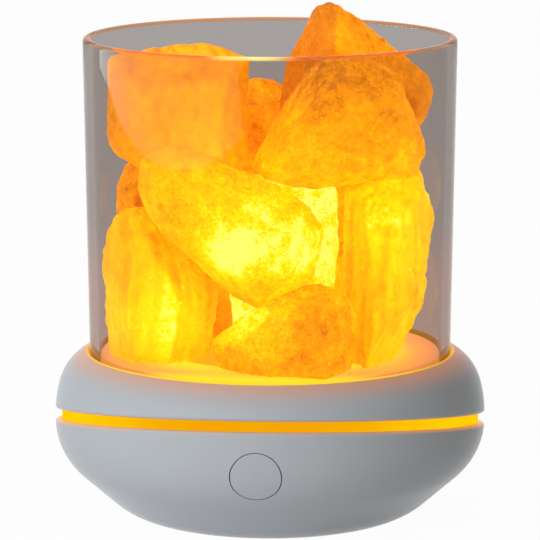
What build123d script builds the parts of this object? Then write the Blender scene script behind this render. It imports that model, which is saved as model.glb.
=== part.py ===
from build123d import *
import os
import random
from math import asin, atan2, cos, degrees, hypot, pi, radians, sin, tan

# Salt crystal lamp. Millimetres, +Z up. The origin is on the table, on the lamp's axis, and the
# front with the button faces -Y. An angle round the lamp is counted from the front towards +X.

# Outline of the base, a body of revolution
base_radius = 62.5
deck_height = 49.3
underside_height = 1.3
underside_radius = 40.6
underside_round = 19.7
flank_height = 20.6
flank_round = 19.8
side_flat = 1.5
shoulder_height = 40.5
shoulder_step = 1.3
casing_wall = 2.5
deck_wall = 2.5

# Slanted groove between the casings, high at the front, and the light guide in it
groove_height = 28.5
groove_gap = 2.9
groove_slant = 8.44
groove_lip_round = 0.9
flange_wall = 2.0
flange_lip = 1.4
guide_recess = 1.9
guide_width = 6.0

# Board behind the light guide
ring_board_width = 6.4
ring_board_wall = 1.2
ring_led_count = 18
ring_led_length = 3.0
ring_led_depth = 1.6
ring_led_height = 1.2

# Glass and its seat
glass_foot_radius = 52.4
glass_flare = 1.45
glass_wall = 2.6
glass_top = 140.7
glass_depth_in_seat = 3.1
glass_rim_round = 1.1
glass_clearance = 0.3
seat_ring_lip = 0.9
seat_ring_floor = 1.0
seat_ring_proud = 0.25
seat_ring_round = 0.35
seat_trough_wall = 1.7

# Diffuser window and reflector
window_radius = 30.0
window_wall = 1.5
window_ledge = 2.5
reflector_wall = 1.0
reflector_foot_radius = 19.5

# LED board under the deck
led_board_radius = 36.5
led_board_wall = 1.6
led_board_drop = 6.2
led_circle_radius = 13.0
led_count = 6
led_size = 5.0
led_height = 1.6
led_dome_radius = 1.9
led_dome_height = 0.3
led_post_circle = 33.4
led_post_radius = 2.4

# Feet, casing screws and posts
foot_side_angles = (75.0, 150.0)
foot_circle = 29.5
foot_pad_radius = 4.6
foot_pad_lift = 0.5
foot_pad_round = 0.5
rubber_foot_radius = 3.8
rubber_foot_height = 1.6
rubber_foot_round = 0.4
boss_radius = 4.5
boss_top = 16.0
post_radius = 3.5
screw_count = 3
screw_circle = 34.0
screw_shelf_height = 6.0
screw_length = 16.0
screw_shank_radius = 1.45
screw_head_radius = 2.8
screw_head_height = 2.0

# Control board and the parts on it
control_board_width = 44.0
control_board_front = 6.0
control_board_rear = 44.2
control_board_height = 14.0
board_wall = 1.6
board_post_radius = 2.8
board_post_x = 17.5
board_post_front = 10.5
board_post_rear = 34.5
controller_place = (0.0, 11.5)
controller_size = (8.0, 5.0, 1.6)
driver_place = (8.0, 18.0)
driver_size = (4.0, 4.0, 1.2)
coil_place = (-10.0, 19.0)
coil_radius = 3.4
coil_height = 4.0
capacitor_place = (10.5, 10.5)
capacitor_radius = 2.5
capacitor_height = 6.0
small_shank_radius = 0.95
small_head_radius = 1.9
small_head_height = 1.4
small_screw_grip = 5.0

# Power inlet in its recess at the rear
inlet_face = 47.0
inlet_wall = 2.0
inlet_recess_width = 12.0
inlet_recess_height = 7.0
socket_width = 8.94
socket_height = 3.2
socket_length = 7.3
socket_skin = 0.3
socket_back = 1.0
tongue_width = 6.7
tongue_wall = 0.7
tongue_setback = 0.8

# Button and its switch
button_radius = 7.1
button_height = 24.6
button_seam = 0.3
button_skin = 2.0
button_depth = 5.0
button_flange = 1.5
button_stem_radius = 1.5
button_stem_length = 6.9
button_travel = 0.6
switch_size = 6.0
switch_depth = 3.5
switch_face = 8.5
plunger_radius = 1.75
plunger_overlap = 1.2
switch_board_width = 28.0
switch_board_height = 10.0
switch_post_x = 11.2
switch_post_radius = 2.2

# Crystals
crystal_gap = 0.3
crystal_steps = 52.4
crystal_room_sides = 24
crystal_slope = (18.0, 40.0)

# Leads and connectors
lead_radius = 1.1
lead_bend = 4.0
connector_size = (7.0, 4.5, 4.0)
led_connector = (0.0, 22.0)
ring_connector = (-10.0, 27.0)
switch_connector = (-12.0, 11.0)
lead_rise = 9.0
led_lead_step = 12.0
ring_lead_side = -14.0
ring_lead_inset = 7.3
switch_lead_x = -6.0
switch_lead_run = 12.0

# Clearances
part_clearance = 0.3
bore_clearance = 0.1

# Where the sizes above put the pieces
reach = 400.0
guide_inner_radius = base_radius - guide_recess - guide_width
upper_flange_radius = guide_inner_radius + flange_lip
ring_board_radius = guide_inner_radius - part_clearance
lower_flange_radius = ring_board_radius - ring_board_width - flange_lip
crystal_grid = glass_foot_radius / crystal_steps
glass_draft = atan2(glass_flare, glass_top - deck_height)
glass_foot = deck_height - glass_depth_in_seat
seat_inner_radius = glass_foot_radius - glass_wall - 2 * glass_clearance
seat_outer_radius = glass_foot_radius + glass_clearance + seat_ring_lip
seat_floor = glass_foot - glass_clearance - seat_ring_floor
deck_underside = deck_height - deck_wall
led_board_top = deck_underside - led_board_drop
led_board_underside = led_board_top - led_board_wall
floor_height = underside_height + casing_wall
board_top = control_board_height + board_wall
socket_height_above_table = control_board_height - socket_height / 2
socket_mouth = inlet_face - part_clearance
foot_angles = [side * angle for side in (-1, 1) for angle in foot_side_angles]
screw_angles = [60 + 360 / screw_count * index for index in range(screw_count)]
led_post_angles = [120 * index for index in range(3)]


def around(radius, angle, height=0.0):
    """Place on a circle round the lamp's axis, with its own x pointing outwards."""
    turn = radians(angle - 90)
    return Pos(radius * cos(turn), radius * sin(turn), height) * Rot(0, 0, angle - 90)


def rod(radius, low, high):
    """Upright round bar on the axis."""
    return Pos(0, 0, (low + high) / 2) * Cylinder(radius, high - low)


def tube(inner, outer, low, high):
    return rod(outer, low, high) - rod(inner, low - 1, high + 1)


def brick(x_span, y_span, z_span):
    """Box between two places on each axis."""
    spans = (x_span, y_span, z_span)
    middle = [(low + high) / 2 for low, high in spans]
    return Pos(*middle) * Box(*[high - low for low, high in spans])


def group(solids):
    return Compound(children=list(solids))


# Base outline

def base_profile(inset=0.0):
    """Right half of the base's section, or of the form that lies an even distance inside it."""
    lean = atan2(base_radius - underside_radius, flank_height - underside_height)
    widest = flank_height + flank_round * tan(lean / 2) + side_flat
    low = underside_height + inset
    lower = FilletPolyline(
        (0, low), (underside_radius - inset * tan(pi / 4 - lean / 2), low),
        (base_radius - inset, flank_height + inset * tan(lean / 2)), (base_radius - inset, widest),
        radius=[underside_round - inset, flank_round - inset])
    side_rise = shoulder_height - widest
    side_round = (side_rise ** 2 + shoulder_step ** 2) / (2 * shoulder_step)
    side_turn = asin(side_rise / side_round)
    side = JernArc(lower @ 1, (0, 1), side_round - inset, degrees(side_turn))
    run, rise = base_radius - shoulder_step - seat_outer_radius, deck_height - shoulder_height
    shoulder_turn = 2 * (atan2(run, rise) - side_turn)
    shoulder_round = hypot(run, rise) / (2 * sin(shoulder_turn / 2))
    shoulder = JernArc(side @ 1, side % 1, shoulder_round - inset, degrees(shoulder_turn))
    end = shoulder @ 1
    top = Polyline(end, (0, end.Y), (0, low))
    section = make_face(lower + side + shoulder + top)
    return section & Pos(0, deck_height - inset - reach / 2) * Rectangle(2 * reach, reach)


def base_body(inset=0.0):
    """The base's outer form, or the form that lies an even distance inside it."""
    return revolve(Plane.XZ * base_profile(inset), Axis.Z)


def groove_frame():
    """Upper face of the lower casing's flange: it slants down from the front to the back."""
    slant = radians(groove_slant)
    return Plane(origin=(0, 0, groove_height), x_dir=(1, 0, 0), z_dir=(0, sin(slant), cos(slant)))


def slanted(low, high, inner=0.0, outer=reach):
    """Slab, or ring, that lies parallel to the groove, between two heights over its lower face."""
    ring = rod(outer, low, high)
    if inner:
        ring -= rod(inner, low - 1, high + 1)
    return groove_frame() * ring


OUTER = base_body()
INNER = base_body(casing_wall)


# Casings

def button_frame():
    """Centre of the button's face, on the base's surface, with z pointing out of the base."""
    corner_lean = atan2(base_radius - underside_radius, flank_height - underside_height)
    round_height = flank_height + flank_round * tan(corner_lean / 2)
    lean = atan2(round_height - button_height,
                 (flank_round ** 2 - (round_height - button_height) ** 2) ** 0.5)
    face_y = -(base_radius - flank_round + flank_round * cos(lean))
    return Plane(origin=(0, face_y, button_height), x_dir=(1, 0, 0),
                 z_dir=(0, -cos(lean), -sin(lean)))


def lip_rounded(shell, height):
    """Round the outer edge of a casing where it meets the groove."""
    lip_plane = groove_frame().offset(height)

    def on_rim(edge):
        spots = [edge @ place for place in (0, 0.25, 0.5, 0.75, 1)]
        level = all(abs(lip_plane.to_local_coords(spot).Z) < 0.01 for spot in spots)
        return level and all(spot.X ** 2 + spot.Y ** 2 > upper_flange_radius ** 2 for spot in spots)

    return fillet([edge for edge in shell.edges() if on_rim(edge)], groove_lip_round)


def casing_shell(low, high, inner_flange_radius, flange_low, flange_high):
    """One half of the base's skin, with the flange that holds the light guide."""
    shell = (OUTER - INNER) & slanted(low, high)
    flange = (OUTER & slanted(flange_low, flange_high)) - slanted(
        flange_low - 1, flange_high + 1, outer=inner_flange_radius)
    return shell + flange


def upper_casing():
    shell = casing_shell(groove_gap, reach, upper_flange_radius, groove_gap, groove_gap + flange_wall)
    trough = tube(seat_inner_radius - seat_trough_wall, seat_outer_radius + seat_trough_wall,
                  seat_floor - seat_trough_wall, deck_height) & OUTER
    shell += trough
    for angle in screw_angles:
        shell += around(screw_circle, angle) * rod(post_radius, boss_top, deck_underside)
    for angle in led_post_angles:
        shell += around(led_post_circle, angle) * rod(led_post_radius, led_board_top, deck_underside)
    shell = lip_rounded(shell, groove_gap)
    ring_room = ring_board_wall + ring_led_height + part_clearance
    shell -= slanted(0, ring_room, lower_flange_radius, upper_flange_radius)
    shell -= tube(seat_inner_radius, seat_outer_radius, seat_floor, deck_height + 1)
    shell -= rod(window_radius - window_ledge, deck_underside - 1, deck_height + 1)
    shell -= rod(window_radius + bore_clearance, deck_height - window_wall, deck_height + 1)
    tip = screw_shelf_height + screw_length
    for angle in screw_angles:
        shell -= around(screw_circle, angle) * rod(
            screw_shank_radius + bore_clearance, boss_top - 1, tip + 1)
    for angle in led_post_angles:
        shell -= around(led_post_circle, angle) * rod(
            small_shank_radius + bore_clearance, led_board_top - 1, led_board_top + small_screw_grip)
    return shell


def inlet_block():
    """Solid block in the rear wall, out of which the inlet's recess is cut."""
    half_width = inlet_recess_width / 2 + inlet_wall
    half_height = inlet_recess_height / 2 + inlet_wall
    return brick((-half_width, half_width), (inlet_face - inlet_wall, base_radius),
                 (socket_height_above_table - half_height, socket_height_above_table + half_height))


def inlet_cut():
    recess = Pos(0, inlet_face + reach / 2, socket_height_above_table) * Box(
        inlet_recess_width, reach, inlet_recess_height)
    recess = fillet(recess.edges().filter_by(Axis.Y), inlet_recess_height / 4)
    mouth = slot_bar(socket_width + 2 * bore_clearance, socket_height + 2 * bore_clearance,
                     inlet_face - inlet_wall - 1, inlet_face + 1)
    return recess + mouth


def slot_bar(width, height, near, far):
    """Bar with rounded ends that lies along Y at the socket's height."""
    section = Pos(0, socket_height_above_table) * SlotOverall(width, height)
    return Plane.XZ.offset(-far) * extrude(section, far - near)


def board_post_places():
    return [(side * board_post_x, y) for side in (-1, 1) for y in (board_post_front, board_post_rear)]


def lower_casing():
    shell = casing_shell(-reach, 0, lower_flange_radius, -flange_wall, 0)
    shell = lip_rounded(shell, 0)
    for angle in foot_angles:
        pad = rod(foot_pad_radius, foot_pad_lift, floor_height)
        pad = fillet(pad.edges().sort_by(Axis.Z)[0], foot_pad_round)
        shell += around(foot_circle, angle) * pad
    for angle in screw_angles:
        shell += around(screw_circle, angle) * rod(boss_radius, floor_height, boss_top)
    for x, y in board_post_places():
        shell += Pos(x, y) * rod(board_post_radius, underside_height, control_board_height) & OUTER
    shell += inlet_block() & OUTER
    shell -= inlet_cut()
    for angle in foot_angles:
        shell -= around(foot_circle, angle) * rod(
            rubber_foot_radius + bore_clearance, 0, rubber_foot_height)
    for angle in screw_angles:
        spot = around(screw_circle, angle)
        shell -= spot * rod(screw_head_radius + bore_clearance, 0, screw_shelf_height)
        shell -= spot * rod(screw_shank_radius + bore_clearance, 0, boss_top + 1)
    for x, y in board_post_places():
        shell -= Pos(x, y) * rod(small_shank_radius + bore_clearance,
                                 control_board_height - small_screw_grip, control_board_height + 1)
    face = button_frame()
    board_face = -(switch_face + switch_depth)
    for side in (-1, 1):
        post = face * Pos(side * switch_post_x, 0) * rod(switch_post_radius, board_face, 0)
        shell += post & OUTER
        shell -= face * Pos(side * switch_post_x, 0) * rod(
            small_shank_radius + bore_clearance, board_face - 1, board_face + small_screw_grip)
    shell -= face * rod(button_radius + button_seam, -button_depth - 1, button_depth)
    return shell


# Light guide in the groove

def light_guide_ring():
    ring = base_body(guide_recess) & slanted(0, groove_gap)
    return ring - slanted(-1, groove_gap + 1, outer=guide_inner_radius)


def ring_led_board():
    inner = ring_board_radius - ring_board_width
    return slanted(0, ring_board_wall, inner, ring_board_radius)


def ring_leds():
    middle = ring_board_radius - ring_led_depth / 2
    chip = Box(ring_led_depth, ring_led_length, ring_led_height)
    height = ring_board_wall + ring_led_height / 2
    chips = [groove_frame() * around(middle, 360 / ring_led_count * index, height) * chip
             for index in range(ring_led_count)]
    return group(chips)


# Glass

def glass_radius(height):
    """Outer radius of the slightly flared glass at a height."""
    return glass_foot_radius + (height - deck_height) * tan(glass_draft)


def glass_cylinder():
    foot, rim = glass_radius(glass_foot), glass_radius(glass_top)
    wall = make_face(Polyline(
        (foot - glass_wall, glass_foot), (foot, glass_foot),
        (rim, glass_top), (rim - glass_wall, glass_top), close=True))
    corners = wall.vertices().sort_by(Axis.Y)
    wall = fillet(corners[2:], glass_rim_round)
    return revolve(Plane.XZ * wall, Axis.Z)


def glass_seat_ring():
    """Translucent ring under the glass, whose lip shows round the foot of the glass."""
    lip_inner = seat_outer_radius - seat_ring_lip
    floor_top = seat_floor + seat_ring_floor
    lip_top = deck_height + seat_ring_proud
    section = make_face(Polyline(
        (seat_inner_radius, seat_floor), (seat_outer_radius, seat_floor),
        (seat_outer_radius, lip_top), (lip_inner, lip_top),
        (lip_inner, floor_top), (seat_inner_radius, floor_top), close=True))
    crown = section.vertices().group_by(Axis.Y)[-1]
    return revolve(Plane.XZ * fillet(crown, seat_ring_round), Axis.Z)


# Light unit under the deck

def diffuser_window():
    return rod(window_radius, deck_height - window_wall, deck_height)


def reflector_cone():
    head = window_radius - window_ledge
    section = make_face(Polyline(
        (reflector_foot_radius, led_board_top), (reflector_foot_radius + reflector_wall, led_board_top),
        (head + reflector_wall, deck_underside), (head, deck_underside), close=True))
    return revolve(Plane.XZ * section, Axis.Z)


def led_board():
    board = rod(led_board_radius, led_board_underside, led_board_top)
    for angle in screw_angles:
        board -= around(screw_circle, angle) * rod(
            post_radius + part_clearance, led_board_underside - 1, led_board_top + 1)
    for angle in led_post_angles:
        board -= around(led_post_circle, angle) * rod(
            small_shank_radius + bore_clearance, led_board_underside - 1, led_board_top + 1)
    return board


def board_leds():
    half, dome = led_size / 2, led_height - led_dome_height
    chip = brick((-half, half), (-half, half), (0, dome)) + rod(led_dome_radius, dome, led_height)
    places = [Pos(0, 0, led_board_top)]
    places += [around(led_circle_radius, 360 / led_count * index, led_board_top)
               for index in range(led_count)]
    return group(place * chip for place in places)


def small_screw(grip_through):
    """Board screw that points up, with its head's upper face at height 0."""
    tip = grip_through + small_screw_grip - 0.5
    return rod(small_head_radius, -small_head_height, 0) + rod(small_shank_radius, 0, tip)


def led_board_screws():
    screw = small_screw(led_board_wall)
    return group(around(led_post_circle, angle, led_board_underside) * screw
                 for angle in led_post_angles)


# Control board and inlet

def control_board():
    half = control_board_width / 2
    board = brick((-half, half), (control_board_front, control_board_rear),
                  (control_board_height, board_top))
    room = base_body(casing_wall + part_clearance)
    board = board & room
    for angle in screw_angles:
        board -= around(screw_circle, angle) * rod(
            boss_radius + part_clearance, control_board_height - 1, board_top + 1)
    for x, y in board_post_places():
        board -= Pos(x, y) * rod(
            small_shank_radius + bore_clearance, control_board_height - 1, board_top + 1)
    return board


def control_board_screws():
    screw = Rot(180, 0, 0) * small_screw(board_wall)
    return group(Pos(x, y, board_top) * screw for x, y in board_post_places())


def control_components():
    """Controller chip, coil, capacitor and driver on the upper face of the control board."""
    chips = [Pos(*place, board_top + size[2] / 2) * Box(*size)
             for place, size in ((controller_place, controller_size), (driver_place, driver_size))]
    cans = [Pos(*place) * rod(radius, board_top, board_top + height)
            for place, radius, height in ((coil_place, coil_radius, coil_height),
                                          (capacitor_place, capacitor_radius, capacitor_height))]
    return group(chips + cans)


def board_connectors():
    width, depth, height = connector_size
    return group(Pos(x, y, board_top + height / 2) * Box(width, depth, height)
                 for x, y in (led_connector, ring_connector, switch_connector))


def usb_socket_shell():
    """Socket's metal shell, hung under the board's rear edge, with its mouth in the recess."""
    shell = slot_bar(socket_width, socket_height, socket_mouth - socket_length, socket_mouth)
    return shell - slot_bar(socket_width - 2 * socket_skin, socket_height - 2 * socket_skin,
                            socket_mouth - socket_length + socket_back, socket_mouth + 1)


def usb_socket_tongue():
    half = tongue_width / 2
    return brick((-half, half),
                 (socket_mouth - socket_length + socket_back, socket_mouth - tongue_setback),
                 (socket_height_above_table - tongue_wall / 2, socket_height_above_table + tongue_wall / 2))


# Button and switch

def power_button():
    face = button_frame()
    cap = (face * rod(button_radius, -button_depth, button_depth)) & OUTER
    flange = face * rod(button_radius + button_flange, -button_depth, 0)
    cap += flange & base_body(casing_wall + part_clearance)
    cap -= face * rod(button_radius - button_skin, -button_depth - 1, -button_skin)
    return cap + face * rod(button_stem_radius, -button_stem_length, -button_skin)


def switch_plunger():
    return button_frame() * rod(plunger_radius, -switch_face - plunger_overlap, -button_stem_length)


def tact_switch():
    half = switch_size / 2
    back = -(switch_face + switch_depth)
    housing = brick((-half, half), (-half, half), (back, -switch_face))
    well = rod(plunger_radius + part_clearance,
               -switch_face - plunger_overlap - button_travel - part_clearance, 0)
    return button_frame() * (housing - well)


def switch_board():
    front = -(switch_face + switch_depth)
    half_width, half_height = switch_board_width / 2, switch_board_height / 2
    board = brick((-half_width, half_width), (-half_height, half_height), (front - board_wall, front))
    for side in (-1, 1):
        board -= Pos(side * switch_post_x, 0) * rod(
            small_shank_radius + bore_clearance, front - board_wall - 1, front + 1)
    return button_frame() * board


def switch_board_screws():
    back = -(switch_face + switch_depth + board_wall)
    screw = Pos(0, 0, back) * small_screw(board_wall)
    return group(button_frame() * Pos(side * switch_post_x, 0) * screw for side in (-1, 1))


# Feet and casing screws

def casing_screws():
    head = rod(screw_head_radius, screw_shelf_height - screw_head_height, screw_shelf_height)
    shank = rod(screw_shank_radius, screw_shelf_height, screw_shelf_height + screw_length)
    return group(around(screw_circle, angle) * (head + shank) for angle in screw_angles)


def rubber_feet():
    foot = rod(rubber_foot_radius, 0, rubber_foot_height)
    foot = fillet(foot.edges().sort_by(Axis.Z)[0], rubber_foot_round)
    return group(around(foot_circle, angle) * foot for angle in foot_angles)


# Leads

def lead(route):
    """Sleeved pair of wires along straight runs with rounded bends."""
    line = FilletPolyline(*route, radius=lead_bend)
    start = Plane(origin=line @ 0, z_dir=line % 0)
    return sweep(start * Circle(lead_radius), line)


def led_board_lead():
    x, y = led_connector
    top = board_top + connector_size[2]
    return lead([(x, y, top), (x, y, top + lead_rise),
                 (x, y - led_lead_step, led_board_underside - lead_rise),
                 (x, y - led_lead_step, led_board_underside)])


def ring_board_lead():
    x, y = ring_connector
    end_x, end_y = ring_lead_side, ring_board_radius - ring_lead_inset
    seat = groove_height - end_y * tan(radians(groove_slant)) + ring_board_wall
    return lead([(x, y, board_top + connector_size[2]), (x, y, seat + lead_rise),
                 (end_x, end_y, seat + lead_rise), (end_x, end_y, seat + part_clearance)])


def switch_lead():
    x, y = switch_connector
    top = board_top + connector_size[2]
    back = -(switch_face + switch_depth + board_wall)
    exit_point = button_frame().from_local_coords(Vector(switch_lead_x, 0, back))
    run_out = button_frame().from_local_coords(Vector(switch_lead_x, 0, back - switch_lead_run))
    return lead([exit_point, run_out, (x, y, top + lead_rise), (x, y, top)])


# Crystals: each is a rough gem, with its outline seen from the front as (x, height over the deck),
# the place of its middle and its half depth along Y, all in steps of crystal_grid, of which there
# are crystal_steps from the axis to the foot of the glass. Earlier ones keep their shape where two
# meet.

crystals = {
    "crystal_middle": (
        [(-29, 39), (-13, 24), (0, 17), (14, 27), (17, 40), (11, 50), (-3, 56), (-23, 64),
         (-34, 60), (-35, 50)], -31, 13),
    "crystal_front_low": (
        [(-12, 0), (24, 0), (27, 9), (25, 20), (20, 25), (9, 25), (-6, 20), (-16, 9)], -32, 13),
    "crystal_upper_left": (
        [(-46, 60), (-33, 48), (-12, 48), (-6, 55), (-5, 86), (-16, 90.5), (-27, 90), (-45, 86)],
        -11, 17),
    "crystal_upper_right": (
        [(1, 52), (15, 50), (42, 54), (45, 63), (41, 74), (37, 83), (28, 88), (15, 87), (5, 75),
         (-4, 57)], -18, 14),
    "crystal_right_tall": (
        [(24, 0), (37, 0), (45, 16), (49, 43), (43, 54), (34, 54), (23, 49), (21, 20)], -17, 19),
    "crystal_left_tall": (
        [(-45, 0), (-17, 0), (-14, 20), (-18, 30), (-28, 43), (-38, 44), (-44, 40), (-47, 28)],
        -14, 18),
    "crystal_peak": (
        [(2, 66), (17, 53), (37, 54), (47, 72), (46, 79), (40, 85), (30, 92), (23, 98),
         (17, 100.2), (13, 99), (4, 81)], 11, 14),
    "crystal_core": (
        [(-10, 0), (16, 0), (20, 26), (19, 47), (6, 52), (-8, 50), (-13, 30)], 2, 13),
    "crystal_back_top": (
        [(-28, 50), (5, 50), (8, 63), (4, 72), (-2, 76), (-9, 76), (-24, 72), (-31, 60)], 25, 14),
    "crystal_left_back": (
        [(-43, 28), (-19, 28), (-16, 45), (-22, 57), (-40, 57), (-46, 49), (-47, 38)], 15, 14),
    "crystal_low_left_back": (
        [(-40, 0), (-4, 0), (0, 14), (-5, 29), (-30, 30), (-43, 18)], 21, 16),
    "crystal_low_right_back": (
        [(2, 0), (38, 0), (43, 14), (34, 30), (8, 30), (1, 16)], 23, 16),
    "crystal_right_back": (
        [(4, 28), (36, 27), (45, 44), (38, 60), (8, 59), (1, 42)], 21, 15),
    "crystal_middle_back": (
        [(-22, 27), (3, 27), (7, 44), (-2, 56), (-18, 55), (-25, 42)], 27, 14),
}


def crystal_room():
    """Space inside the glass, narrow enough for the foot of the glass to pass the crystals."""
    radius = glass_foot_radius - glass_wall - 2 * glass_clearance
    footprint = RegularPolygon(radius, side_count=crystal_room_sides)
    return Pos(0, 0, deck_height) * extrude(footprint, reach)


def chop(solid, point, outward):
    """Cut away what lies beyond a plane."""
    return split(solid, bisect_by=Plane(origin=point, z_dir=outward), keep=Keep.BOTTOM)


def rough_gem(outline, middle_y, half_depth, seed):
    """Facets slope from each edge of the outline to the front and to the back."""
    dice = random.Random(seed)
    middle_y, half_depth = middle_y * crystal_grid, half_depth * crystal_grid
    stone = Pos(0, middle_y, deck_height + reach / 4) * Box(reach / 2, 2 * half_depth, reach / 2)
    corners = [Vector(x * crystal_grid, middle_y, deck_height + height * crystal_grid)
               for x, height in outline]
    for start, end in zip(corners, corners[1:] + corners[:1]):
        along = (end - start).normalized()
        outward = Vector(along.Z, 0, -along.X)
        upright = abs(outward.Z) > 0.95 and start.Z < deck_height + 1
        for side in (-1, 1):
            slope = 0.0 if upright else radians(dice.uniform(*crystal_slope))
            stone = chop(stone, start, outward * cos(slope) + Vector(0, side * sin(slope), 0))
    for side in (-1, 1):
        tilt = Vector(dice.uniform(-0.35, 0.35), side, dice.uniform(-0.3, 0.3))
        face_point = Vector(sum(corners, Vector()) / len(corners)) + Vector(0, side * 0.85 * half_depth, 0)
        stone = chop(stone, face_point, tilt)
    return stone


def clear_of(stone, neighbour):
    """Cut a crystal back, by the neighbour's face that costs it least, to leave a narrow gap."""
    best_reach, best_point, best_normal = -reach, None, None
    for face in neighbour.faces():
        normal, point = face.normal_at(), face.center()
        nearest = min((corner.center() - point).dot(normal) for corner in stone.vertices())
        if nearest > best_reach:
            best_reach, best_point, best_normal = nearest, point, normal
    if best_reach >= crystal_gap:
        return stone
    return chop(stone, best_point + best_normal * crystal_gap, best_normal * -1)


def crystal_pile():
    room, pile = crystal_room(), {}
    for seed, (name, (outline, middle_y, half_depth)) in enumerate(crystals.items()):
        stone = (rough_gem(outline, middle_y, half_depth, seed) & room).solid()
        for neighbour in pile.values():
            stone = clear_of(stone, neighbour)
        pile[name] = stone
    return pile


def lamp():
    makers = [
        lower_casing, upper_casing, light_guide_ring, ring_led_board, ring_leds,
        glass_cylinder, glass_seat_ring, diffuser_window, reflector_cone,
        led_board, board_leds, led_board_screws,
        control_board, control_board_screws, control_components, board_connectors,
        usb_socket_shell, usb_socket_tongue,
        power_button, switch_plunger, tact_switch, switch_board, switch_board_screws,
        casing_screws, rubber_feet, led_board_lead, ring_board_lead, switch_lead]
    pieces = {maker.__name__: maker() for maker in makers}
    pieces.update(crystal_pile())
    return pieces


os.makedirs("parts", exist_ok=True)
for node, piece in lamp().items():
    export_step(piece, f"parts/{node}.step")
    print(node, round(piece.volume), "mm3")
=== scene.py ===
"""Salt crystal lamp: its visible pieces, their finishes and the studio round it."""

import math

import bmesh
import bpy
import numpy as np
from bpy.props import FloatProperty, FloatVectorProperty, IntProperty, PointerProperty
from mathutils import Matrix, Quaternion, Vector, noise


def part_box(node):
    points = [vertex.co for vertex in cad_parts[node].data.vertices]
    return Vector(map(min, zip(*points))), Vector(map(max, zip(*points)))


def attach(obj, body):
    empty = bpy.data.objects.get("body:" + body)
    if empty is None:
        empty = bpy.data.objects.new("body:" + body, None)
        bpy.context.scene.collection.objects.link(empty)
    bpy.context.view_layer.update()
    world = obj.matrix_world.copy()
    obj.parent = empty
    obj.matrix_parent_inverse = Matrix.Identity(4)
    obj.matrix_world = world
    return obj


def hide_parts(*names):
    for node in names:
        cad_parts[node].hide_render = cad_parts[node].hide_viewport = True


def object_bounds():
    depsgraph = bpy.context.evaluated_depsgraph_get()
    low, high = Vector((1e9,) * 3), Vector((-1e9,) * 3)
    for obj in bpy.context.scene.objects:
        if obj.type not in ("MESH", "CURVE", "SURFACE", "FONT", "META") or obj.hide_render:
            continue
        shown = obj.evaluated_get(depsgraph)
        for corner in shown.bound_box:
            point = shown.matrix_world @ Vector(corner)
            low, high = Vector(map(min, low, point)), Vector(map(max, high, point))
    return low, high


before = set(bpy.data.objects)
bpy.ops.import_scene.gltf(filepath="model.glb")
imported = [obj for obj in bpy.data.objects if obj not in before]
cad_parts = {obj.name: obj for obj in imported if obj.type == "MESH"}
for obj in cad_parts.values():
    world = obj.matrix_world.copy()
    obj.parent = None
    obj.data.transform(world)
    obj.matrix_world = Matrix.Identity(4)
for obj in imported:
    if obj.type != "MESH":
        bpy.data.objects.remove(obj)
CAD_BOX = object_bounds()

bl_info = {
    "name": "Salt crystal lamp",
    "version": (1, 0, 0),
    "blender": (4, 5, 0),
    "location": "View3D > Sidebar > Salt lamp",
    "description": "Builds the pieces, finishes and studio of a glowing salt crystal lamp",
    "category": "Object",
}

MM = 0.001
WHITE = (1.0, 1.0, 1.0, 1.0)
BLACK = (0.0, 0.0, 0.0, 1.0)


# Shader building

def linear(red, green, blue):
    """A colour given in screen values from 0 to 255, as the linear values that a shader takes."""
    def one(value):
        value /= 255
        return value / 12.92 if value <= 0.04045 else ((value + 0.055) / 1.055) ** 2.4
    return (one(red), one(green), one(blue), 1.0)


class Wire:
    """An output socket that can be used in sums like a number."""

    def __init__(self, finish, socket):
        self.finish = finish
        self.socket = socket

    def maths(self, operation, first, second, clamp=False):
        return self.finish.node("ShaderNodeMath", {"operation": operation, "use_clamp": clamp},
                                {0: first, 1: second})

    def __add__(self, other):
        return self.maths("ADD", self, other)

    def __radd__(self, other):
        return self.maths("ADD", other, self)

    def __sub__(self, other):
        return self.maths("SUBTRACT", self, other)

    def __rsub__(self, other):
        return self.maths("SUBTRACT", other, self)

    def __mul__(self, other):
        return self.maths("MULTIPLY", self, other)

    def __rmul__(self, other):
        return self.maths("MULTIPLY", other, self)

    def __truediv__(self, other):
        return self.maths("DIVIDE", self, other)

    def __pow__(self, other):
        return self.maths("POWER", self, other)

    def clamped(self):
        """Held between 0 and 1."""
        return self.maths("ADD", self, 0.0, clamp=True)

    def most(self, other):
        """The larger of two values."""
        return self.maths("MAXIMUM", self, other)

    def size(self):
        """The value without its sign."""
        return self.finish.node("ShaderNodeMath", {"operation": "ABSOLUTE"}, {0: self})

    def part(self, axis):
        """One part of a vector, by its letter."""
        return self.finish.node("ShaderNodeSeparateXYZ", sockets={0: self}, out=axis)

    def step(self, low, high):
        """0 below low, 1 above high, and smooth between them."""
        return self.finish.node(
            "ShaderNodeMapRange", {"interpolation_type": "SMOOTHSTEP"},
            {"Value": self, "From Min": low, "From Max": high, "To Min": 0.0, "To Max": 1.0})


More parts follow.
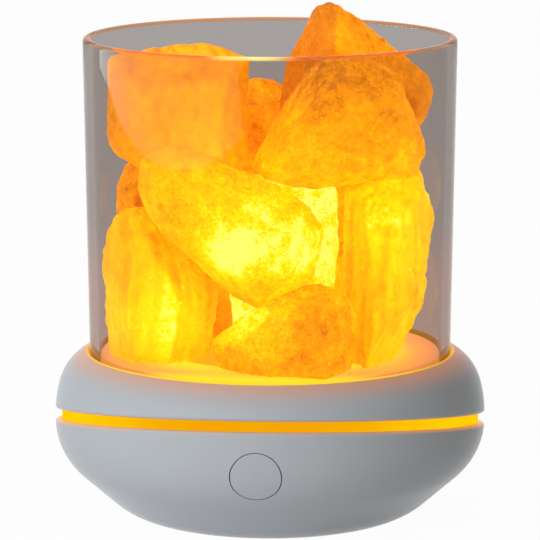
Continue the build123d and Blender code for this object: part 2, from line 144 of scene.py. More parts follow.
class Finish:
    """A material, or the world, whose nodes are made one by one."""

    def __init__(self, name, owner=None):
        self.owner = owner or bpy.data.materials.new(name)
        self.owner.use_nodes = True
        self.tree = self.owner.node_tree
        self.tree.nodes.clear()

    def node(self, kind, settings=None, sockets=None, out=0):
        """Make a node: its settings first, then its sockets' values or links."""
        made = self.tree.nodes.new(kind)
        for key, value in (settings or {}).items():
            if key == "stops":
                ramp = made.color_ramp
                while len(ramp.elements) < len(value):
                    ramp.elements.new(1.0)
                for element, (place, colour) in zip(ramp.elements, value):
                    element.position = place
                    element.color = colour
            else:
                setattr(made, key, value)
        for key, value in (sockets or {}).items():
            if isinstance(value, Wire):
                self.tree.links.new(value.socket, made.inputs[key])
            else:
                made.inputs[key].default_value = value
        return Wire(self, made.outputs[out])

    def place(self):
        """Place in the lamp's own space, in metres."""
        return self.node("ShaderNodeTexCoord", out="Object")

    def noise(self, size, detail=3.0, roughness=0.5, stretch=None, distortion=0.0):
        """Cloudy noise, 0 to 1, with spots about as large as size in metres."""
        place = self.place()
        if stretch:
            place = self.node("ShaderNodeVectorMath", {"operation": "MULTIPLY"},
                              {0: place, 1: stretch})
        return self.node("ShaderNodeTexNoise", sockets={
            "Vector": place, "Scale": 1.0 / size, "Detail": detail, "Roughness": roughness,
            "Distortion": distortion})

    def mix(self, amount, first, second):
        """Blend two colours."""
        return self.node("ShaderNodeMix", {"data_type": "RGBA"}, {0: amount, 6: first, 7: second},
                         out=2)

    def ramp(self, value, stops):
        return self.node("ShaderNodeValToRGB", {"stops": stops}, {"Fac": value})

    def bump(self, height, distance, strength=1.0):
        return self.node("ShaderNodeBump", sockets={
            "Height": height, "Distance": distance, "Strength": strength}, out="Normal")

    def surface(self, sockets):
        return self.node("ShaderNodeBsdfPrincipled", sockets=sockets)

    def blend(self, amount, first, second):
        """Mix two shaders."""
        return self.node("ShaderNodeMixShader", sockets={0: amount, 1: first, 2: second})

    def output(self, shader, kind="ShaderNodeOutputMaterial"):
        """Join the shader to the output and give back the material or world."""
        end = self.tree.nodes.new(kind)
        self.tree.links.new(shader.socket, end.inputs["Surface"])
        return self.owner


def dress(name, material):
    """Give a kept node its finish."""
    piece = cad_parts[name]
    piece.data.materials.clear()
    piece.data.materials.append(material)
    return piece


def new_piece(name, mesh, material, body, replaced):
    """A new object that takes the place of one node."""
    mesh.materials.append(material)
    piece = bpy.data.objects.new(name, mesh)
    bpy.context.collection.objects.link(piece)
    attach(piece, body)
    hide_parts(replaced)
    return piece


def plain_finish(name, colour, roughness, metallic=0.0, spot=2 * MM):
    """Finish with a fine grain and slightly uneven colour and gloss."""
    finish = Finish(name)
    grain = finish.noise(spot, 4.0, 0.6)
    broad = finish.noise(spot * 8, 3.0, 0.55)
    dark = tuple(value * 0.88 for value in colour[:3]) + (1.0,)
    return finish.output(finish.surface({
        "Base Color": finish.mix(broad, dark, colour),
        "Roughness": (roughness + (grain - 0.5) * 0.16).clamped(),
        "Metallic": metallic,
        "Normal": finish.bump(grain, 0.03 * MM)}))


# Sizes and colours

class StudioSettings(bpy.types.PropertyGroup):
    camera_place: FloatVectorProperty(
        name="Camera place", description="Where the camera stands", subtype="TRANSLATION",
        unit="LENGTH", default=(0.0726, -1.1051, 0.2625))
    camera_pitch: FloatProperty(
        name="Camera pitch", description="How far the camera looks down", subtype="ANGLE",
        default=math.radians(9.73))
    camera_yaw: FloatProperty(
        name="Camera turn", description="How far the camera is turned to the left",
        subtype="ANGLE", default=math.radians(3.76))
    lens: FloatProperty(
        name="Lens", description="Focal length in millimetres", default=258.3, min=10.0)
    ambient_left: FloatVectorProperty(
        name="Ambient light, left", description="Soft light from the left", subtype="COLOR",
        default=(0.43, 0.465, 0.51))
    ambient_right: FloatVectorProperty(
        name="Ambient light, right", description="Soft light from the right", subtype="COLOR",
        default=(0.11, 0.095, 0.072))
    key_power: FloatProperty(
        name="Key light", description="Power of the large soft light on the left",
        unit="POWER", default=14.8)
    top_power: FloatProperty(
        name="Top light", description="Power of the light over the back",
        unit="POWER", default=1.5)
    gloss_power: FloatProperty(
        name="Gloss light", description="Power of the panel that only shows in the glass",
        unit="POWER", default=12.5)


class FinishSettings(bpy.types.PropertyGroup):
    casing_colour: FloatVectorProperty(
        name="Casing colour", description="Glossy plastic of both casings and the button",
        subtype="COLOR", default=(0.49, 0.515, 0.54))
    glass_tint: FloatVectorProperty(
        name="Glass tint", description="What the outer face of the glass lets through, squared",
        subtype="COLOR", default=(0.478, 0.470, 0.455))
    back_tint: FloatVectorProperty(
        name="Glass tint, back", description="The same at the back of the glass",
        subtype="COLOR", default=(0.131, 0.132, 0.130))
    glass_haze: FloatVectorProperty(
        name="Glass haze", description="Light of the crystals that the glass scatters",
        subtype="COLOR", default=(0.085, 0.020, 0.002))
    guide_glow: FloatProperty(
        name="Light guide glow", description="Strength of the band's light", default=1.0, min=0.0)
    seat_glow: FloatProperty(
        name="Seat ring glow", description="Strength of the light at the foot of the glass",
        default=1.0, min=0.0)
    window_glow: FloatProperty(
        name="Window glow", description="Strength of the light from the diffuser window",
        default=1.0, min=0.0)
    deck_glow: FloatProperty(
        name="Deck glow", description="Strength of the light on the deck and round the glass",
        default=1.0, min=0.0)
    rim_glow: FloatProperty(
        name="Rim glow", description="Strength of the light that leaves the glass at its rim",
        default=1.0, min=0.0)


class GlassSettings(bpy.types.PropertyGroup):
    wall: FloatProperty(
        name="Wall", description="Thickness of the glass", unit="LENGTH", default=2.6 * MM)
    rim_round: FloatProperty(
        name="Rim rounding", description="Radius of the polished rim", unit="LENGTH",
        default=1.1 * MM)
    flare: FloatProperty(
        name="Flare", description="How much wider the glass is at the rim", unit="LENGTH",
        default=1.5 * MM)
    segments: IntProperty(
        name="Segments", description="Steps round the glass", default=256, min=32)


class CrystalSettings(bpy.types.PropertyGroup):
    detail: IntProperty(
        name="Detail", description="Subdivision of each crystal's surface", default=6, min=3,
        max=7)
    edge_round: FloatProperty(
        name="Edge rounding", description="Roundness of the broken edges", unit="LENGTH",
        default=0.7 * MM)
    chips: IntProperty(
        name="Chips", description="Broken faces on each crystal", default=26, min=0)
    chip_depth: FloatProperty(
        name="Chip depth", description="Deepest chip as a share of the crystal", default=0.14,
        min=0.0, max=0.5)
    waviness: FloatProperty(
        name="Waviness", description="Depth of the hollows on each face", unit="LENGTH",
        default=1.8 * MM)
    glow: FloatProperty(
        name="Glow", description="Strength of the light in the crystals", default=1.42, min=0.0)


# Each crystal's glow: its level, how uneven it is, how much it falls for each mm of height over its
# middle, how far its streaks run upright, and brighter or darker places as (x, y, height over the
# table, reach, change), all in mm.
GLOW = {
    "crystal_middle": (0.47, 0.90, 0.000, 0.0, (
        (-9, -42, 83, 8, 0.46), (9, -40, 86, 11, 0.52), (-6, -40, 99, 11, 0.14),
        (-2, -42, 92, 9, 0.12), (-31, -30, 107, 10, -0.10))),
    "crystal_front_low": (0.365, 1.05, -0.004, 0.0, (
        (-8, -41, 67, 9, 0.50), (5, -44, 61, 9, 0.10), (18, -42, 59, 9, -0.12))),
    "crystal_upper_left": (0.39, 0.50, 0.003, 0.0, (
        (-12, -24, 110, 15, 0.10), (-44, -12, 117, 17, -0.18))),
    "crystal_upper_right": (0.335, 0.85, 0.0085, 0.0, (
        (6, -28, 123, 4, 0.38), (3, -28, 108, 9, 0.08), (26, -24, 134, 12, -0.08))),
    "crystal_right_tall": (0.56, 0.60, -0.004, 1.0, (
        (32, -30, 92, 17, 0.17), (46, -20, 85, 8, -0.10))),
    "crystal_left_tall": (0.515, 0.50, 0.001, 1.0, (
        (-27, -30, 76, 13, 0.20), (-33, -30, 66, 12, 0.06),
        (-18, -27, 58, 12, 0.34), (-41, -24, 78, 10, -0.14))),
    "crystal_peak": (0.18, 0.42, 0.001, 0.0, (
        (38, 0, 108, 10, 0.04), (21, 0, 147, 11, 0.12))),
    "crystal_core": (0.81, 1.1, 0.000, 0.0, ((15, -11, 98, 11, 0.24),)),
    "crystal_back_top": (0.355, 0.70, 0.004, 0.0, ()),
    "crystal_left_back": (0.24, 0.70, 0.004, 0.0, ()),
    "crystal_low_left_back": (0.475, 0.80, 0.003, 0.0, ((-15, 38, 70, 14, 0.14),)),
    "crystal_low_right_back": (0.475, 0.80, 0.003, 0.0, ((20, 38, 72, 14, 0.14),)),
    "crystal_right_back": (0.435, 0.80, 0.003, 0.6, ((20, 36, 85, 14, 0.15),)),
    "crystal_middle_back": (0.455, 0.80, 0.003, 0.0, ((-8, 40, 88, 12, 0.14),)),
}

# Crystal shapes
FIRST_SEED = 100
LEAST_CHIP = 0.015      # shallowest chip, as a share of the crystal
FLAT_SLOPE = 1e-3       # least slope at which a ray still meets a face
EDGE_SHARPNESS = 1.4
FARTHEST_FACE = 60      # a face this far behind the first one no longer rounds the edge
MEAN_HOLLOW = 0.42      # mean depth of the hollows

# Crystal glow
FACET_GLOW = 0.08       # change from facet to facet
HOLLOW_GLOW = 0.40      # change from hollow to crest
EDGE_GLOW = 0.10        # extra light in rounded edges
INWARD_SHADE = 0.24     # shade on sides that face the lamp's axis
STREAK_SIZE = (3.2 * MM, 3.2 * MM, 30 * MM)
BACK_GLOW = 1.5         # extra light at the back, where the glass is darker

# The colours of the glow, from the dimmest to the brightest
AMBER = (
    (0.0, linear(116, 60, 2)), (0.12, linear(160, 88, 3)), (0.25, linear(204, 116, 3)),
    (0.4, linear(238, 146, 2)), (0.55, linear(251, 172, 1)), (0.7, linear(253, 200, 1)),
    (0.85, linear(254, 228, 2)), (0.94, linear(254, 249, 6)), (1.0, linear(255, 255, 112)))

# Room for the crystals
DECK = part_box("upper_casing")[1].z
DECK_GAP = 0.1 * MM
CRYSTAL_ROOM = 49.3 * MM    # farthest that a crystal reaches from the lamp's axis

# The groove between the casings and the band of light in it
GROOVE_HEIGHT = 28.5 * MM   # on the lamp's axis
GROOVE_SLANT = math.radians(8.44)
BAND_RADIUS = 60.6 * MM
RING_LEDS = 18.0

# The turned glass
WALL_STEPS = 8
RIM_STEPS = 8               # round each half of the rim
SMOOTH_LIMIT = math.radians(40)

# The studio
SENSOR_WIDTH = 36.0         # in millimetres
NEAREST_SEEN = 0.05
FLOOR_HALF = 6.0
FLOOR_DROP = 0.2 * MM       # below the feet
FLOOR_WHITE = 0.97          # share of plain white in what is seen of the floor
GLOSS_ROLL = math.radians(-3.0)

# Each light: the setting that holds its power, its size, its place and what it points at, in metres
LIGHTS = {
    "key_light": ("key_power", (1.3, 1.2), (-0.78, -1.20, 0.72), (0, 0, 0.08)),
    "top_light": ("top_power", (0.7, 0.5), (-0.3, 0.3, 1.3), (0, 0, 0.08)),
    "gloss_light": ("gloss_power", (0.68, 0.42), (-0.2945, -0.1373, 0.273), (0, 0, 0.389)),
}


# Pieces

class SALTLAMP_OT_stage(bpy.types.Operator):
    """Set up the floor, the lights and the camera"""
    bl_idname = "saltlamp.stage"
    bl_label = "Stage"

    def execute(self, context):
        studio = context.scene.salt_studio
        self.make_world(studio)
        self.make_floor()
        self.make_lights(studio)
        camera = bpy.data.objects.new("camera", bpy.data.cameras.new("camera"))
        context.collection.objects.link(camera)
        camera.data.lens = studio.lens
        camera.data.sensor_width = SENSOR_WIDTH
        camera.data.clip_start = NEAREST_SEEN
        camera.location = studio.camera_place
        camera.rotation_euler = (math.pi / 2 - studio.camera_pitch, 0.0, studio.camera_yaw)
        context.scene.camera = camera
        context.scene.view_settings.view_transform = "Standard"
        return {"FINISHED"}

    @staticmethod
    def seen(finish):
        """1 where the backdrop is seen straight, in a gloss or through glass."""
        path = {name: finish.node("ShaderNodeLightPath", out=name)
                for name in ("Is Camera Ray", "Is Glossy Ray", "Is Transmission Ray")}
        return path["Is Camera Ray"].most(path["Is Glossy Ray"]).most(path["Is Transmission Ray"])

    def make_world(self, studio):
        world = bpy.data.worlds.new("studio")
        bpy.context.scene.world = world
        finish = Finish("studio", world)
        heading = finish.node("ShaderNodeTexCoord", out="Generated").part("X")
        around = finish.node("ShaderNodeBackground", sockets={
            "Color": finish.mix(heading.step(-0.9, 0.9), (*studio.ambient_left, 1.0),
                                (*studio.ambient_right, 1.0)),
            "Strength": 1.0})
        white = finish.node("ShaderNodeBackground", sockets={"Color": WHITE, "Strength": 1.0})
        finish.output(finish.blend(self.seen(finish), around, white), "ShaderNodeOutputWorld")

    def make_floor(self):
        finish = Finish("floor")
        grain = finish.noise(4 * MM, 2.0)
        paper = finish.surface({
            "Base Color": (0.92, 0.92, 0.92, 1.0), "Roughness": 0.9,
            "Normal": finish.bump(grain, 0.05 * MM)})
        white = finish.node("ShaderNodeEmission", sockets={"Color": WHITE, "Strength": 1.0})
        shown = self.seen(finish) * FLOOR_WHITE
        mesh = bpy.data.meshes.new("floor")
        mesh.from_pydata([(x * FLOOR_HALF, y * FLOOR_HALF, 0)
                          for x, y in ((-1, -1), (1, -1), (1, 1), (-1, 1))], [], [(0, 1, 2, 3)])
        mesh.materials.append(finish.output(finish.blend(shown, paper, white)))
        floor = bpy.data.objects.new("floor", mesh)
        floor.location.z = -FLOOR_DROP
        bpy.context.collection.objects.link(floor)

    def make_lights(self, studio):
        for name, (power, size, place, aim) in LIGHTS.items():
            lamp = bpy.data.lights.new(name, "AREA")
            lamp.shape = "RECTANGLE"
            lamp.size, lamp.size_y = size
            lamp.energy = getattr(studio, power)
            holder = bpy.data.objects.new(name, lamp)
            holder.location = place
            turn = (Vector(aim) - holder.location).to_track_quat("-Z", "Y")
            holder.visible_camera = False
            holder.visible_transmission = False
            if name == "gloss_light":
                turn @= Quaternion((0, 0, 1), GLOSS_ROLL)
                holder.visible_diffuse = False
                shown_in = bpy.data.collections.new("gloss_light_shown_in")
                shown_in.objects.link(bpy.data.objects["glass"])
                holder.light_linking.receiver_collection = shown_in
            holder.rotation_euler = turn.to_euler()
            bpy.context.collection.objects.link(holder)


class SALTLAMP_OT_casings(bpy.types.Operator):
    """Finish the upper and lower casing in glossy plastic"""
    bl_idname = "saltlamp.casings"
    bl_label = "Casings"

    def execute(self, context):
        settings = context.scene.salt_finish
        dress("upper_casing", casing_finish("upper_casing", settings.casing_colour,
                                            settings.deck_glow))
        dress("lower_casing", casing_finish("lower_casing", settings.casing_colour))
        return {"FINISHED"}


def casing_finish(name, colour, glow=0.0):
    """Glossy moulded plastic, with painted light from the band on the lips of the groove. With a
    glow, painted light fills the deck and bleeds out round the glass, in the base colour and as
    emission.
    """
    finish = Finish(name)
    peel = finish.noise(6 * MM, 2.0, 0.4)
    cloud = finish.noise(50 * MM, 2.0, 0.5)
    red, green, blue = colour
    base = finish.mix(cloud, (red * 0.96, green * 0.96, blue * 0.96, 1.0), (*colour, 1.0))
    place = finish.place()
    across, along, height = place.part("X"), place.part("Y"), place.part("Z")

    # Painted light from the light guide's band on the lips above and below the groove: an orange
    # base colour and orange emission, stronger to the sides.
    over = along * math.sin(GROOVE_SLANT) + (height - GROOVE_HEIGHT) * math.cos(GROOVE_SLANT)
    band_spill = over.step(-1.2 * MM, -0.2 * MM) * (1 - over.step(3.0 * MM, 3.4 * MM))
    band_spill *= 0.3 + (across.size() / BAND_RADIUS).step(0.4, 1.0) * 0.7
    base = finish.mix(band_spill * 0.8, base, (red, green * 0.55, blue * 0.2, 1.0))
    light = finish.mix(band_spill, BLACK, (0.22, 0.065, 0.008, 1.0))

    if glow:
        # Painted light of the crystals and the LEDs on the deck inside the glass and just round its
        # foot: a redder base colour and emission, brightest at the front.
        radius = (across * across + along * along) ** 0.5
        glass_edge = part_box("glass_cylinder")[1].x
        share = (radius / glass_edge).clamped()
        spill = 1 - radius.step(glass_edge - 0.5 * MM, glass_edge + 6.5 * MM)
        spill *= height.step(38 * MM, 44 * MM)
        base = finish.mix(spill, base, finish.ramp(share, (
            (0.0, (red, 0.30, 0.06, 1.0)), (0.93, (red * 0.9, 0.20, 0.08, 1.0)),
            (0.975, (red * 0.9, 0.20, 0.08, 1.0)),
            (0.985, (red, green * 0.74, blue * 0.6, 1.0)))))
        deck_light = finish.ramp(share, (
            (0.0, (1.0, 0.60, 0.02, 1.0)), (0.62, (0.95, 0.44, 0.015, 1.0)),
            (0.80, (0.60, 0.22, 0.04, 1.0)), (0.97, (0.36, 0.14, 0.05, 1.0)),
            (0.985, (0.11, 0.024, 0.002, 1.0)), (1.0, (0.11, 0.024, 0.002, 1.0))))
        front = (1 - along.step(-46 * MM, -34 * MM)) * (1 - share.step(0.96, 0.98))
        deck_light = finish.mix(front, deck_light, (0.95, 0.50, 0.01, 1.0))
        light = finish.mix(spill, light, deck_light)

    return finish.output(finish.surface({
        "Base Color": base, "Roughness": 0.22 + cloud * 0.06, "IOR": 1.45,
        "Specular IOR Level": 0.08, "Coat Weight": 0.03, "Coat Roughness": 0.04,
        "Normal": finish.bump(peel, 0.02 * MM),
        "Emission Color": light, "Emission Strength": 2.0 * (glow or 1.0)}))


class SALTLAMP_OT_button(bpy.types.Operator):
    """Finish the power button and the plunger of its switch"""
    bl_idname = "saltlamp.button"
    bl_label = "Button"

    def execute(self, context):
        colour = context.scene.salt_finish.casing_colour
        dress("power_button", casing_finish("power_button", colour))
        dress("switch_plunger", plain_finish("switch_plunger", linear(60, 60, 62), 0.4))
        return {"FINISHED"}


class SALTLAMP_OT_glass(bpy.types.Operator):
    """Turn the clear glass cylinder with its polished rim"""
    bl_idname = "saltlamp.glass"
    bl_label = "Glass"

    def execute(self, context):
        form = context.scene.salt_glass
        low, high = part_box("glass_cylinder")
        rim_radius = (high.x - low.x + high.y - low.y) / 4
        foot_radius = rim_radius - form.flare
        wall, bend = form.wall, form.rim_round
        upright = high.z - bend - low.z
        rises = [step / (WALL_STEPS + 1) for step in range(1, WALL_STEPS + 1)]
        turns = [math.pi / 2 * step / RIM_STEPS for step in range(RIM_STEPS + 1)]
        line = [(foot_radius - wall, low.z), (foot_radius - wall / 2, low.z), (foot_radius, low.z)]
        line += [(foot_radius + form.flare * rise, low.z + upright * rise) for rise in rises]
        for middle, start in ((rim_radius - bend, 0.0), (rim_radius - wall + bend, math.pi / 2)):
            line += [(middle + bend * math.cos(start + turn),
                      high.z - bend + bend * math.sin(start + turn)) for turn in turns]
        line += [(foot_radius - wall + form.flare * rise, low.z + upright * rise)
                 for rise in reversed(rises)]
        material = glass_finish(context.scene.salt_finish, foot_radius - wall * 0.9,
                                form.flare / (high.z - low.z), low.z, high.z)
        new_piece("glass", turned("glass", line, form.segments), material, "glass",
                  "glass_cylinder")
        return {"FINISHED"}


def turned(name, line, segments):
    """Closed section turned round the lamp's axis."""
    count = len(line)
    corners, faces = [], []
    for step in range(segments):
        turn = 2 * math.pi * step / segments
        corners += [(r * math.cos(turn), r * math.sin(turn), z) for r, z in line]
    for step in range(segments):
        here, there = step * count, (step + 1) % segments * count
        for index in range(count):
            after = (index + 1) % count
            faces.append((here + index, there + index, there + after, here + after))
    mesh = bpy.data.meshes.new(name)
    mesh.from_pydata(corners, [], faces)
    for face in mesh.polygons:
        face.use_smooth = True
    mesh.set_sharp_from_angle(angle=SMOOTH_LIMIT)
    return mesh


def glass_finish(settings, inside, flare, foot, top):
    """Faintly smoky polished glass, clearer in front, with painted light: orange light of the
    crystals in its rim, their light scattered in its wall, and a painted highlight at the front of
    the rim.
    """
    finish = Finish("clear_glass")
    streak = finish.noise(50 * MM, 1.0, 0.4, stretch=(1.0, 1.0, 0.15))
    smear = finish.noise(30 * MM, 2.0, 0.5)
    flicker = finish.noise(10 * MM, 2.0, 0.5)
    place = finish.place()
    across, along, height = place.part("X"), place.part("Y"), place.part("Z")
    radius = (across * across + along * along) ** 0.5 - (height - foot) * flare
    outer = radius.step(inside, inside + 0.8 * MM)

    tint = finish.mix(along.step(-45 * MM, 11 * MM), (*settings.glass_tint, 1.0),
                      (*settings.back_tint, 1.0))
    wall = finish.mix(outer, (0.95, 0.94, 0.92, 1.0), tint)
    # Painted light in the rim: an orange base colour and orange emission.
    rim = height.step(top - 1.2 * MM, top - 0.5 * MM)

    # Painted haze: light of the crystals scattered in the outer wall, stronger low down.
    low = 1 - height.step(foot + 24 * MM, foot + 48 * MM) * 0.6
    haze = finish.mix(outer * low, BLACK, (*settings.glass_haze, 1.0))
    # Painted highlight at the front of the rim, over the painted orange light round the rest of it.
    front = 1 - (across + 2 * MM).size().step(2 * MM, 15 * MM)
    front *= 1 - along.step(-50 * MM, -40 * MM)
    rim_light_and_glint = finish.mix(front, (0.17, 0.062, 0.02, 1.0), (0.80, 0.62, 0.20, 1.0))
    return finish.output(finish.surface({
        "Base Color": finish.mix(rim, wall, (0.42, 0.20, 0.09, 1.0)),
        "Roughness": smear * 0.005,
        "IOR": 1.08,
        "Transmission Weight": 1.0,
        "Emission Color": finish.mix((rim * (0.75 + flicker * 0.5)).clamped(), haze, rim_light_and_glint),
        "Emission Strength": settings.rim_glow,
        "Normal": finish.bump(streak, 0.02 * MM)}))


class SALTLAMP_OT_glow_rings(bpy.types.Operator):
    """Light up the light guide ring, the seat ring and the diffuser window"""
    bl_idname = "saltlamp.glow_rings"
    bl_label = "Glowing rings"

    def execute(self, context):
        glow = context.scene.salt_finish
        dress("light_guide_ring", guide_finish(glow.guide_glow))
        dress("glass_seat_ring", seat_finish(glow.seat_glow))
        dress("diffuser_window", lit_plastic(
            "diffuser", linear(255, 176, 10), linear(255, 206, 40), glow.window_glow, 12 * MM))
        return {"FINISHED"}


def guide_finish(strength):
    """Amber band: deeper in front and yellower to the sides, a little brighter at each LED."""
    finish = Finish("light_guide")
    place = finish.place()
    across, along = place.part("X"), place.part("Y")
    side = (across.size() / BAND_RADIUS).step(0.25, 0.95)
    turn = finish.node("ShaderNodeMath", {"operation": "ARCTAN2"}, {0: across, 1: along * -1})
    pulse = finish.node("ShaderNodeMath", {"operation": "COSINE"}, {0: turn * RING_LEDS})
    cloud = finish.noise(4 * MM, 3.0, 0.5)
    level = (side * 0.8 + pulse * 0.04 + (cloud - 0.5) * 0.15).clamped()
    colour = finish.ramp(level, (
        (0.0, linear(242, 164, 2)), (0.5, linear(250, 190, 2)), (0.9, linear(254, 212, 8)),
        (1.0, linear(240, 204, 20))))
    return finish.output(finish.surface({
        "Base Color": linear(60, 30, 2), "Roughness": 0.4 + cloud * 0.1,
        "Specular IOR Level": 0.0,
        "Emission Color": colour, "Emission Strength": strength,
        "Normal": finish.bump(cloud, 0.02 * MM)}))


def seat_finish(strength):
    """Bright line round the foot of the glass, deeper to the sides."""
    finish = Finish("seat_ring")
    cloud = finish.noise(8 * MM, 3.0, 0.5)
    near = finish.place().part("Y").size().step(12 * MM, 45 * MM)
    line = finish.mix(cloud, linear(255, 206, 8), linear(255, 226, 40))
    return glowing(finish, cloud, finish.mix(near, linear(226, 158, 30), line), strength)


def lit_plastic(name, dim, bright, strength, spot):
    """Translucent plastic with light behind it, and clouds as large as spot."""
    finish = Finish(name)
    cloud = finish.noise(spot, 3.0, 0.5)
    return glowing(finish, cloud, finish.mix(cloud, dim, bright), strength)


def glowing(finish, cloud, colour, strength):
    """A dark amber surface that gives off light of the given colour."""
    return finish.output(finish.surface({
        "Base Color": linear(90, 60, 12), "Roughness": 0.3 + cloud * 0.15,
        "Specular IOR Level": 0.2,
        "Emission Color": colour, "Emission Strength": strength,
        "Normal": finish.bump(cloud, 0.02 * MM)}))


class SALTLAMP_OT_crystals(bpy.types.Operator):
    """Break each crystal out of its solid and let it glow"""
    bl_idname = "saltlamp.crystals"
    bl_label = "Crystals"

    def execute(self, context):
        form = context.scene.salt_crystals
        material = crystal_finish(form.glow)
        for seed, name in enumerate(GLOW):
            mesh = crystal_mesh(name, seed, form)
            new_piece(name.replace("crystal", "salt"), mesh, material, "base", name)
        return {"FINISHED"}


def crystal_mesh(name, seed, form):
    """Rough crystal inside its solid's faces, with a glow level at each point."""
    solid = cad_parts[name].data
    corners = np.array([v.co for v in solid.vertices], float)
    centre = (corners.min(0) + corners.max(0)) / 2
    half = (corners.max(0) - corners.min(0)) / 2
    dice = np.random.default_rng(FIRST_SEED + seed)
    normals, heights = crystal_planes(solid, corners - centre, centre, dice, form)

    ball = bmesh.new()
    bmesh.ops.create_icosphere(ball, subdivisions=form.detail, radius=1.0)
    mesh = bpy.data.meshes.new(name)
    ball.to_mesh(mesh)
    ball.free()
    rays = np.array([v.co for v in mesh.vertices], float) * half
    rays /= np.linalg.norm(rays, axis=1)[:, None]

    slope = rays @ normals.T
    reach = np.where(slope > FLAT_SLOPE, heights / np.maximum(slope, FLAT_SLOPE), 1.0)
    first = reach.min(1)
    waves = np.array([hollow(Vector(spot), seed) for spot in rays * first[:, None] + centre])
    sharp = EDGE_SHARPNESS / form.edge_round
    behind = np.minimum((reach - first[:, None]) * sharp, FARTHEST_FACE)
    rounding = np.log(np.exp(-behind).sum(1)) / sharp
    radius = first - rounding + (MEAN_HOLLOW - waves) * form.waviness
    points = rays * radius[:, None]
    low, high = points.min(0), points.max(0)
    points = ((points - low) / (high - low) * 2 - 1) * half + centre
    across = np.hypot(points[:, 0], points[:, 1])
    points[:, :2] *= np.minimum(1.0, CRYSTAL_ROOM / across)[:, None]
    points[:, 2] = np.clip(points[:, 2], DECK + DECK_GAP, CAD_BOX[1].z)
    mesh.vertices.foreach_set("co", points.astype(np.float32).ravel())
    for face in mesh.polygons:
        face.use_smooth = True
    mesh.update()

    facets = dice.uniform(-FACET_GLOW, FACET_GLOW, len(heights))[reach.argmin(1)]
    level = glow_level(name, points, centre[2], facets, waves, rounding / form.edge_round,
                       facing_out(mesh, points))
    for kind, values in (("glow", level), ("uneven", np.full(len(level), GLOW[name][1]))):
        store = mesh.attributes.new(kind, "FLOAT", "POINT")
        store.data.foreach_set("value", values.astype(np.float32))
    return mesh


def crystal_planes(solid, corners, centre, dice, form):
    """The solid's faces and its random chips, as directions and distances from its centre."""
    normals = np.array([f.normal for f in solid.polygons], float)
    heights = np.array([np.array(f.center, float) for f in solid.polygons]) - centre
    heights = (normals * heights).sum(1)
    chip_normals = dice.normal(size=(form.chips, 3))
    chip_normals /= np.linalg.norm(chip_normals, axis=1)[:, None]
    support = (chip_normals @ corners.T).max(1)
    depth = LEAST_CHIP + form.chip_depth * np.abs(chip_normals[:, 1])
    share = 1 - dice.uniform(0.1, 1.0, form.chips) * depth
    return np.vstack([normals, chip_normals]), np.concatenate([heights, support * share])


def facing_out(mesh, points):
    """How far the surface at each point faces away from the lamp's axis, 0 to 1."""
    outward = points.copy()
    outward[:, 2] = 0
    outward /= np.linalg.norm(outward, axis=1)[:, None] + 1e-9
    facing = np.array([v.normal for v in mesh.vertices], float)
    return np.clip((facing * outward).sum(1), 0, 1)


def glow_level(name, points, middle, facets, waves, edges, shown):
    """How brightly each point glows, as a place on the amber ramp."""
    level, contrast, fall, streaks, places = GLOW[name]
    level = level - fall * (points[:, 2] - middle) / MM
    for x, y, z, spread, change in places:
        away = np.linalg.norm(points - np.array((x, y, z)) * MM, axis=1) / (spread * MM)
        level += change * np.exp(-away ** 2)
    level += contrast * facets
    level += contrast * HOLLOW_GLOW * (waves - MEAN_HOLLOW)
    level += EDGE_GLOW * np.clip(edges * 1.6, 0, 1)
    level -= INWARD_SHADE * (1 - shown) ** 3
    if streaks:
        lines = np.array([noise.noise([value / size for value, size in zip(p, STREAK_SIZE)])
                          for p in points])
        level += streaks * (0.14 * lines + 0.08 * np.clip(1 - 5 * np.abs(lines), 0, 1))
    return level


def hollow(spot, seed):
    """Depth of the surface's hollows at a place, 0 to 1."""
    spot = spot + Vector((seed * 0.37, seed * 0.21, seed * 0.13))
    broad = noise.noise(spot / (11 * MM)) * 0.5 + 0.5
    ridge = 1 - abs(noise.noise(spot / (6 * MM) + Vector((5, 3, 1)))) * 2
    fine = noise.fractal(spot / (2.8 * MM), 0.7, 2.0, 4)
    return 0.36 * broad + 0.22 * max(ridge, 0) + 0.24 * (fine + 1)


def crystal_finish(strength):
    """Glowing salt: amber with paler clouds and darker veins, and painted glints as fine specks and
    sparkles.
    """
    finish = Finish("salt_crystal")
    level = finish.node("ShaderNodeAttribute", {"attribute_name": "glow"}, out="Fac")
    uneven = finish.node("ShaderNodeAttribute", {"attribute_name": "uneven"}, out="Fac")
    cloud = finish.noise(10 * MM, 6.0, 0.66, distortion=0.4)
    patch = finish.noise(2.6 * MM, 6.0, 0.72, distortion=0.9)
    vein = finish.noise(7.5 * MM, 6.0, 0.62, distortion=1.6)
    crease = 1 - ((vein - 0.5).size() * 26).clamped()
    # Painted glints added to the glow: fine specks, lighter and darker, and small bright sparkles.
    glint_speck = finish.noise(0.6 * MM, 3.0, 0.6)
    sparkle = finish.noise(1.6 * MM, 2.0, 0.5).step(0.70, 0.74)
    glow = (level + ((cloud - 0.5) * 0.42 + (patch - 0.5) * 0.6 - crease * 0.10) * uneven
            + (glint_speck - 0.5) * uneven * 0.68 + sparkle * 0.22).clamped()
    back = finish.place().part("Y").step(0.0, 30 * MM)
    brighter = [(place, tuple(value * BACK_GLOW for value in shade[:3]) + (1.0,))
                for place, shade in AMBER]
    colour = finish.mix(back, finish.ramp(glow, AMBER), finish.ramp(glow, brighter))
    rough = finish.noise(1.8 * MM, 6.0, 0.7)
    return finish.output(finish.surface({
        "Base Color": finish.mix(cloud, linear(176, 84, 6), linear(214, 128, 20)),
        "Roughness": 0.22 + rough * 0.25,
        "IOR": 1.54,
        "Specular IOR Level": 0.06,
        "Emission Color": colour,
        "Emission Strength": strength,
        "Normal": finish.bump(rough, 0.7 * MM, 0.9)}))


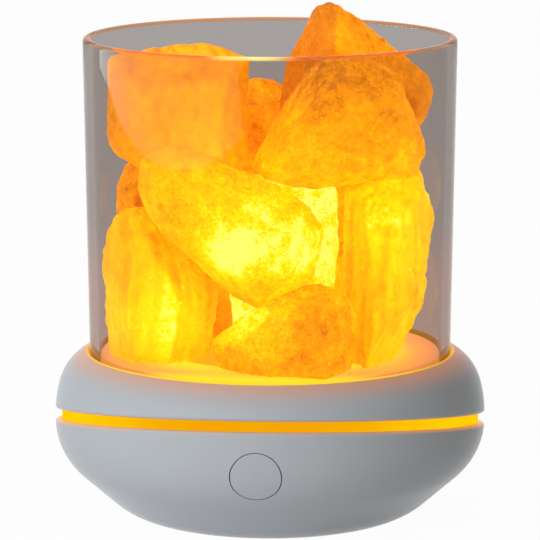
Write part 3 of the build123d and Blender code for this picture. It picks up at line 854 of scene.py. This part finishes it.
class SALTLAMP_OT_fasteners(bpy.types.Operator):
    """Finish the rubber feet and all screws"""
    bl_idname = "saltlamp.fasteners"
    bl_label = "Feet and screws"

    def execute(self, context):
        dress("rubber_feet", plain_finish("rubber_foot", linear(70, 70, 72), 0.75, spot=1 * MM))
        steel = plain_finish("steel", linear(170, 172, 176), 0.3, metallic=1.0, spot=1 * MM)
        for name in ("casing_screws", "led_board_screws", "control_board_screws",
                     "switch_board_screws"):
            dress(name, steel)
        return {"FINISHED"}


class SALTLAMP_OT_light_unit(bpy.types.Operator):
    """Finish the reflector, the boards and their LEDs"""
    bl_idname = "saltlamp.light_unit"
    bl_label = "Light unit"

    def execute(self, context):
        dress("reflector_cone", plain_finish("reflector", linear(235, 236, 238), 0.25))
        board = plain_finish("circuit_board", linear(28, 92, 58), 0.35, spot=1.5 * MM)
        for name in ("led_board", "ring_led_board", "control_board", "switch_board"):
            dress(name, board)
        led = lit_plastic("led", linear(255, 206, 60), linear(255, 240, 190), 2.0, 1 * MM)
        for name in ("board_leds", "ring_leds"):
            dress(name, led)
        return {"FINISHED"}


class SALTLAMP_OT_electronics(bpy.types.Operator):
    """Finish the components, connectors, leads, switch and power socket"""
    bl_idname = "saltlamp.electronics"
    bl_label = "Electronics"

    def execute(self, context):
        for name, colour, roughness, metallic in (
                ("control_components", linear(44, 44, 48), 0.4, 0.0),
                ("board_connectors", linear(226, 222, 208), 0.45, 0.0),
                ("tact_switch", linear(38, 38, 40), 0.5, 0.0),
                ("usb_socket_shell", linear(196, 198, 202), 0.22, 1.0),
                ("usb_socket_tongue", linear(24, 24, 26), 0.4, 0.0),
                ("led_board_lead", linear(36, 36, 38), 0.55, 0.0),
                ("ring_board_lead", linear(36, 36, 38), 0.55, 0.0),
                ("switch_lead", linear(36, 36, 38), 0.55, 0.0)):
            dress(name, plain_finish(name, colour, roughness, metallic, spot=1 * MM))
        return {"FINISHED"}


class SALTLAMP_PT_panel(bpy.types.Panel):
    """Steps and sizes of the salt crystal lamp"""
    bl_idname = "SALTLAMP_PT_panel"
    bl_label = "Salt crystal lamp"
    bl_space_type = "VIEW_3D"
    bl_region_type = "UI"
    bl_category = "Salt lamp"

    def draw(self, context):
        for operator in OPERATORS:
            self.layout.operator(operator.bl_idname)
        for group in GROUPS:
            owner = getattr(context.scene, group)
            for key in owner.__annotations__:
                self.layout.prop(owner, key)


GROUPS = {"salt_studio": StudioSettings, "salt_finish": FinishSettings,
          "salt_glass": GlassSettings, "salt_crystals": CrystalSettings}
OPERATORS = (SALTLAMP_OT_casings, SALTLAMP_OT_button, SALTLAMP_OT_glass, SALTLAMP_OT_glow_rings,
             SALTLAMP_OT_crystals, SALTLAMP_OT_fasteners, SALTLAMP_OT_light_unit,
             SALTLAMP_OT_electronics, SALTLAMP_OT_stage)


def register():
    for kind in (*GROUPS.values(), *OPERATORS, SALTLAMP_PT_panel):
        bpy.utils.register_class(kind)
    for name, kind in GROUPS.items():
        setattr(bpy.types.Scene, name, PointerProperty(type=kind))


def unregister():
    for name in GROUPS:
        delattr(bpy.types.Scene, name)
    for kind in reversed((*GROUPS.values(), *OPERATORS, SALTLAMP_PT_panel)):
        bpy.utils.unregister_class(kind)


def main():
    register()
    for operator in OPERATORS:
        group, name = operator.bl_idname.split(".")
        getattr(getattr(bpy.ops, group), name)()


if __name__ == "__main__":
    main()
